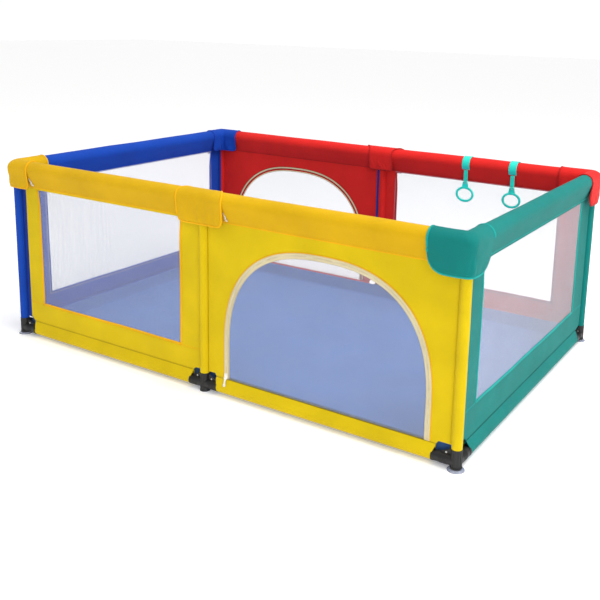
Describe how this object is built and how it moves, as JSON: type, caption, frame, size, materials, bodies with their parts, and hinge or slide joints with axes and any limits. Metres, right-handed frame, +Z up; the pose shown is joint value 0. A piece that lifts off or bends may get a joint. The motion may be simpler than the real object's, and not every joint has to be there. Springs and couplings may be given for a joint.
{
  "type": "playpen",
  "caption": "Rectangular fabric playpen: steel tube frame with padded top rails, coloured side panels with mesh windows, two zipped mesh doors, floor sheet and suction feet.",
  "frame": {"origin": "on the floor under the centre of the pen", "axes": "+X along the long side towards the teal end, +Y from the yellow front to the red back, +Z up"},
  "size_m": [1.802, 1.212, 0.658],
  "materials": {
    "frame_steel": "satin",
    "black_plastic": "satin",
    "clear_vinyl": "gloss",
    "screw_steel": "satin",
    "rail_foam": "matte",
    "yellow_cloth": "matte",
    "teal_cloth": "matte",
    "red_cloth": "matte",
    "blue_cloth": "matte",
    "floor_cloth": "matte",
    "white_mesh": "matte",
    "cream_zip": "matte",
    "white_plastic": "gloss",
    "turquoise_plastic": "gloss",
    "turquoise_webbing": "matte"
  },
  "bodies": {
    "frame": {"bottom_connector_back_left": "black_plastic", "bottom_connector_back_middle": "black_plastic", "bottom_connector_back_right": "black_plastic", "bottom_connector_front_left": "black_plastic", "bottom_connector_front_middle": "black_plastic", "bottom_connector_front_right": "black_plastic", "bottom_rail_back_left": "frame_steel", "bottom_rail_back_right": "frame_steel", "bottom_rail_front_left": "frame_steel", "bottom_rail_front_right": "frame_steel", "bottom_rail_left": "frame_steel", "bottom_rail_right": "frame_steel", "connector_screws": "screw_steel", "door_zip_tapes": "cream_zip", "floor_sheet": "floor_cloth", "mesh_window_back_right": "white_mesh", "mesh_window_front_left": "white_mesh", "mesh_window_left": "white_mesh", "mesh_window_right": "white_mesh", "post_back_left": "frame_steel", "post_back_middle": "frame_steel", "post_back_right": "frame_steel", "post_front_left": "frame_steel", "post_front_middle": "frame_steel", "post_front_right": "frame_steel", "pull_strap_loops": "turquoise_webbing", "rail_cover_back_left": "red_cloth", "rail_cover_back_right": "red_cloth", "rail_cover_front_left": "yellow_cloth", "rail_cover_front_right": "yellow_cloth", "rail_cover_left": "blue_cloth", "rail_cover_right": "teal_cloth", "rail_foam_front_and_back": "rail_foam", "rail_foam_sides": "rail_foam", "side_panel_back_left": "red_cloth", "side_panel_back_right": "red_cloth", "side_panel_front_left": "yellow_cloth", "side_panel_front_right": "yellow_cloth", "side_panel_left": "blue_cloth", "side_panel_right": "teal_cloth", "suction_cups": "clear_vinyl", "top_cap_back_left": "blue_cloth", "top_cap_back_middle": "red_cloth", "top_cap_back_right": "red_cloth", "top_cap_front_left": "yellow_cloth", "top_cap_front_middle": "yellow_cloth", "top_cap_front_right": "teal_cloth", "top_connectors": "black_plastic", "top_rails_front_and_back": "frame_steel", "top_rails_sides": "frame_steel"},
    "front_door": {"door_flap_front_right": "white_mesh"},
    "back_door": {"door_flap_back_left": "white_mesh"},
    "front_zip": {"zip_slider_front": "white_plastic"},
    "back_zip": {"zip_slider_back": "white_plastic"},
    "front_tab": {"zip_tab_front": "white_plastic"},
    "back_tab": {"zip_tab_back": "white_plastic"},
    "strap_a": {"pull_strap_a": "turquoise_webbing"},
    "ring_a": {"pull_ring_a": "turquoise_plastic"},
    "strap_b": {"pull_strap_b": "turquoise_webbing"},
    "ring_b": {"pull_ring_b": "turquoise_plastic"}
  },
  "joints": [
    {"name": "front_door_fold", "type": "hinge", "parent": "frame", "child": "front_door", "pos_m": [0.435, -0.5762, 0.06], "axis": [1, 0, 0], "range_deg": [0, 97]},
    {"name": "back_door_fold", "type": "hinge", "parent": "frame", "child": "back_door", "pos_m": [-0.435, 0.5762, 0.06], "axis": [-1, 0, 0], "range_deg": [0, 97]},
    {"name": "front_zip_run", "type": "slide", "parent": "frame", "child": "front_zip", "axis": [0, 0, 1], "range_m": [0, 0.095]},
    {"name": "back_zip_run", "type": "slide", "parent": "frame", "child": "back_zip", "axis": [0, 0, 1], "range_m": [0, 0.095]},
    {"name": "front_tab_swing", "type": "hinge", "parent": "front_zip", "child": "front_tab", "pos_m": [0.088, -0.5823, 0.063], "axis": [-1, 0, 0], "range_deg": [0, 130]},
    {"name": "back_tab_swing", "type": "hinge", "parent": "back_zip", "child": "back_tab", "pos_m": [-0.088, 0.5823, 0.063], "axis": [1, 0, 0], "range_deg": [0, 130]},
    {"name": "strap_a_swing", "type": "hinge", "parent": "frame", "child": "strap_a", "pos_m": [0.381, 0.55379, 0.603], "axis": [-1, 0, 0], "range_deg": [0, 100]},
    {"name": "ring_a_swing", "type": "hinge", "parent": "strap_a", "child": "ring_a", "pos_m": [0.381, 0.55379, 0.5595], "axis": [-1, 0, 0], "range_deg": [-8, 80]},
    {"name": "strap_b_swing", "type": "hinge", "parent": "frame", "child": "strap_b", "pos_m": [0.573, 0.55379, 0.603], "axis": [-1, 0, 0], "range_deg": [0, 100]},
    {"name": "ring_b_swing", "type": "hinge", "parent": "strap_b", "child": "ring_b", "pos_m": [0.573, 0.55379, 0.5595], "axis": [-1, 0, 0], "range_deg": [-8, 80]}
  ]
}
